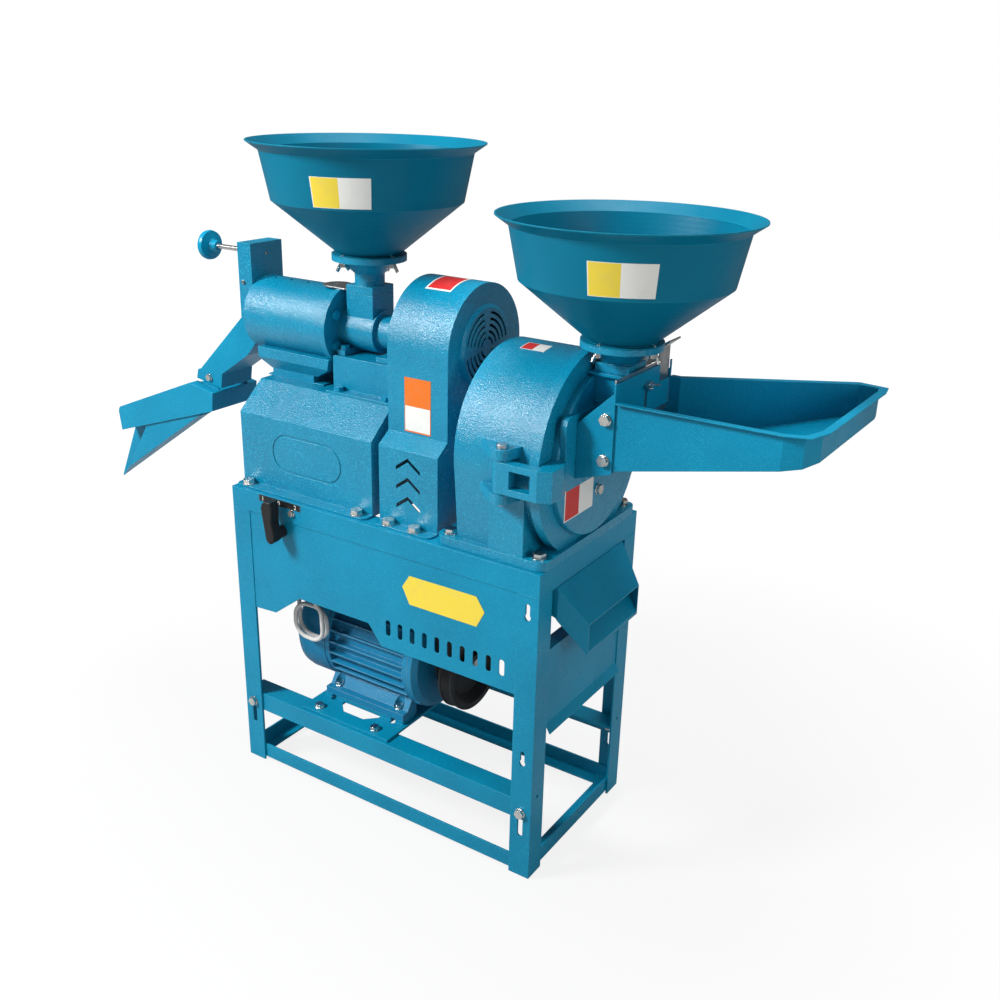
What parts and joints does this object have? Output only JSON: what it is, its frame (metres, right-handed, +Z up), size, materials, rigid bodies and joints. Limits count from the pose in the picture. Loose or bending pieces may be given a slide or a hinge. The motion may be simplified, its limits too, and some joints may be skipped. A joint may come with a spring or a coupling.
{
  "type": "rice huller",
  "caption": "Rice mill with hopper, outlet tray and pressure screw beside a claw grinder with hinged door and feed tray, belt driven by one motor in an angle steel stand.",
  "frame": {"origin": "centre of the stand footprint, on the floor", "axes": "+X along the stand towards the grinder and its feed tray, +Y from the apron to the back, +Z up"},
  "size_m": [1.323, 0.3855, 1.025],
  "materials": {
    "blue_paint": "hammertone gloss",
    "motor_paint": "gloss",
    "machined_steel": "machined",
    "galvanised": "satin zinc",
    "zinc_bolt": "zinc plated",
    "black_paint": "satin",
    "black_plastic": "matte",
    "belt_rubber": "matte",
    "cable_grey": "matte",
    "grey_iron": "machined"
  },
  "bodies": {
    "machine": {"top_frame": "blue_paint", "stand_legs": "blue_paint", "bottom_frame": "blue_paint", "motor_rails": "blue_paint", "front_apron": "blue_paint", "end_panel": "blue_paint", "discharge_chute": "blue_paint", "motor_plate": "blue_paint", "motor_housing": "motor_paint", "motor_end_bell": "motor_paint", "fan_cowl": "motor_paint", "terminal_box": "black_plastic", "motor_cable": "cable_grey", "mill_belt": "belt_rubber", "grinder_belt": "belt_rubber", "box_cover": "blue_paint", "belt_guard": "blue_paint", "mill_pedestal": "blue_paint", "bran_funnel": "blue_paint", "mill_body": "blue_paint", "mill_casing": "blue_paint", "mill_screen": "machined_steel", "bearings": "machined_steel", "outlet_box": "blue_paint", "rice_hood": "blue_paint", "rice_tray": "blue_paint", "broken_rice_chute": "blue_paint", "rice_hopper": "blue_paint", "rice_collar": "blue_paint", "grinder_body": "blue_paint", "ring_sieve": "machined_steel", "hinge_pin": "machined_steel", "switch_body": "black_plastic", "frame_bolts": "zinc_bolt", "m8_bolts": "zinc_bolt", "rice_wing_nuts": "zinc_bolt"},
    "motor_rotor": {"motor_rotor": "machined_steel", "motor_fan": "black_plastic", "motor_pulley": "black_paint"},
    "mill_rotor": {"mill_shaft": "machined_steel", "milling_roller": "grey_iron", "mill_pulley": "black_paint"},
    "grinder_rotor": {"grinder_shaft": "machined_steel", "grinder_pulley": "black_paint", "claw_rotor": "grey_iron"},
    "flap": {"pressure_flap": "machined_steel"},
    "screw": {"pressure_screw": "zinc_bolt"},
    "rice_slide": {"rice_gate": "galvanised"},
    "door": {"grinder_door": "blue_paint", "stator_claws": "grey_iron", "feed_throat": "blue_paint", "feed_tray": "blue_paint", "grinder_hopper": "blue_paint", "grinder_collar": "blue_paint", "door_bolts": "zinc_bolt", "door_wing_nuts": "zinc_bolt"},
    "tray_slide": {"tray_gate": "galvanised"},
    "grinder_slide": {"grinder_gate": "galvanised"},
    "switch_handle": {"switch_lever": "black_plastic"},
    "screw_slide": {"pressure_spring": "zinc_bolt"}
  },
  "joints": [
    {"name": "motor_spin", "type": "hinge", "parent": "machine", "child": "motor_rotor", "pos_m": [-0.085, 0, 0.23], "axis": [1, 0, 0], "continuous": true},
    {"name": "mill_spin", "type": "hinge", "parent": "machine", "child": "mill_rotor", "pos_m": [-0.135, 0, 0.75], "axis": [1, 0, 0], "continuous": true},
    {"name": "grinder_spin", "type": "hinge", "parent": "machine", "child": "grinder_rotor", "pos_m": [0.165, 0, 0.635], "axis": [1, 0, 0], "continuous": true},
    {"name": "flap_swing", "type": "hinge", "parent": "machine", "child": "flap", "pos_m": [-0.3425, 0, 0.8], "axis": [0, 1, 0], "range_deg": [0, 6], "stiffness_Nm_per_rad": 0.5, "springref_deg": -11.46},
    {"name": "screw_travel", "type": "slide", "parent": "machine", "child": "screw_slide", "axis": [1, 0, 0], "range_m": [-0.00438, 0]},
    {"name": "screw_turn", "type": "hinge", "parent": "screw_slide", "child": "screw", "pos_m": [-0.449, 0, 0.843], "axis": [1, 0, 0], "range_deg": [-903, 0]},
    {"name": "rice_gate_slide", "type": "slide", "parent": "machine", "child": "rice_slide", "axis": [-1, 0, 0], "range_m": [0, 0.044]},
    {"name": "door_swing", "type": "hinge", "parent": "machine", "child": "door", "pos_m": [0.227, -0.1545, 0.635], "axis": [0, 0, 1], "range_deg": [-100, 0]},
    {"name": "tray_gate_slide", "type": "slide", "parent": "door", "child": "tray_slide", "axis": [0, 0, 1], "range_m": [-0.044, 0]},
    {"name": "grinder_gate_slide", "type": "slide", "parent": "door", "child": "grinder_slide", "axis": [0, 1, 0], "range_m": [0, 0.044]},
    {"name": "switch_turn", "type": "hinge", "parent": "machine", "child": "switch_handle", "pos_m": [-0.181, -0.1435, 0.448], "axis": [0, 1, 0], "range_deg": [-60, 60]}
  ],
  "couplings": [
    {"joint": "mill_spin", "follows": "motor_spin", "ratio": 0.5702},
    {"joint": "grinder_spin", "follows": "motor_spin", "ratio": 1.8152},
    {"joint": "screw_turn", "follows": "screw_travel", "rad_per_m": 3590.4}
  ]
}
